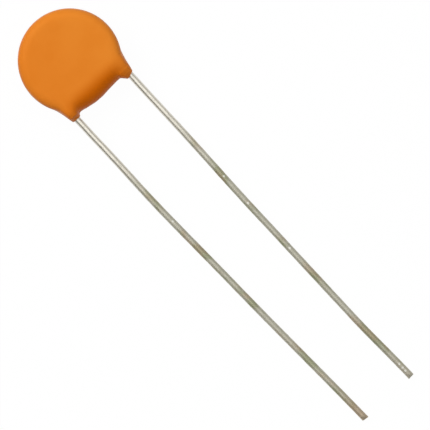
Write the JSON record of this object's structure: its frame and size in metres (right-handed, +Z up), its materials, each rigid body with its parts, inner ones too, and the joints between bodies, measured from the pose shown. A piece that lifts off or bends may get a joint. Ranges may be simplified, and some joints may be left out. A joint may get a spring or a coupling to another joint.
{
  "type": "ceramic disc capacitor",
  "caption": "Round ceramic disc capacitor dipped in orange resin, with long straight tinned wires for through-hole mounting.",
  "frame": {"origin": "middle of the footprint, on the surface that the part lies on", "axes": "+X from the disc along the wires, +Y across them, +Z up out of the front face"},
  "size_m": [0.0372, 0.0074, 0.0028],
  "materials": {
    "orange_resin": "satin",
    "tinned_wire": "satin",
    "fired_ceramic": "matte",
    "silver_film": "satin",
    "solder": "gloss"
  },
  "bodies": {
    "root": {"resin_coat": "orange_resin", "front_lead": "tinned_wire", "rear_lead": "tinned_wire", "ceramic_disc": "fired_ceramic", "front_electrode": "silver_film", "rear_electrode": "silver_film", "front_solder": "solder", "rear_solder": "solder"}
  },
  "joints": []
}
